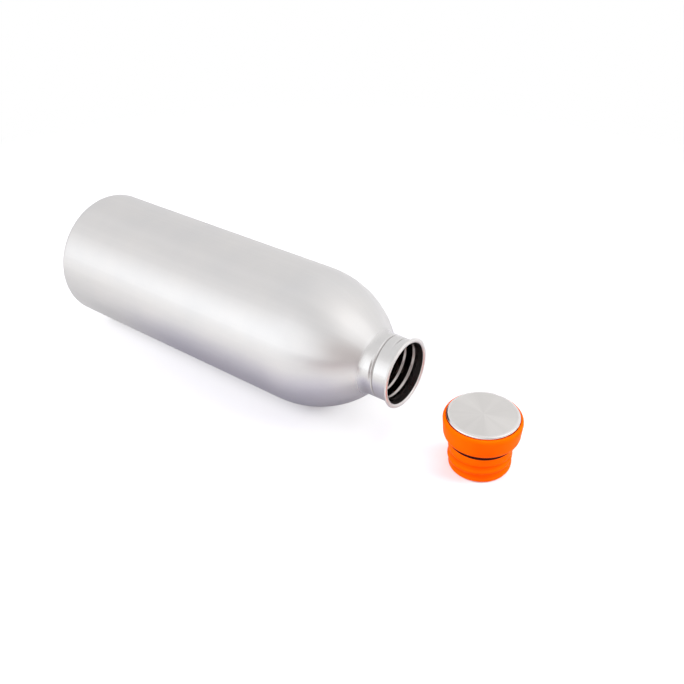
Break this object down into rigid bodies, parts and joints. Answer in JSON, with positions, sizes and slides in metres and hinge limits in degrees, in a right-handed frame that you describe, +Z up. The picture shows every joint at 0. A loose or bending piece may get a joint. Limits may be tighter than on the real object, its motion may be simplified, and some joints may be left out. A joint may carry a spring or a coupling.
{
  "type": "water bottle",
  "caption": "Single-wall steel water bottle with a threaded neck, lying on its side, and its orange screw stopper topped with a steel disc.",
  "frame": {"origin": "under the middle of the part's bounding box, on the surface that the bottle lies on and the stopper stands on", "axes": "+X from the bottle's base to its mouth, along its axis, and on to the stopper; +Z up, along the stopper's axis; +Y across"},
  "size_m": [0.2456, 0.0648, 0.0648],
  "materials": {
    "satin_steel": "fine satin, brushed round the body",
    "base_steel": "pressed sheet, spun satin",
    "orange_plastic": "semi-gloss moulded plastic",
    "disc_steel": "spun satin with a bright rounded edge",
    "pad": "foam adhesive pad",
    "seal_rubber": "matt moulded rubber"
  },
  "bodies": {
    "bottle": {"bottle_body": "satin_steel", "base_plate": "base_steel"},
    "seal": {"seal_ring": "seal_rubber"},
    "stopper": {"stopper_shell": "orange_plastic", "stopper_disc": "disc_steel", "disc_pad": "pad"}
  },
  "joints": [
    {"name": "stopper_lift", "type": "slide", "parent": "bottle", "child": "seal", "axis": [0, 0, 1], "range_m": [0, 0.08]},
    {"name": "stopper_turn", "type": "hinge", "parent": "seal", "child": "stopper", "pos_m": [0.10603, 0.0019, 0], "axis": [0, 0, 1], "continuous": true}
  ]
}
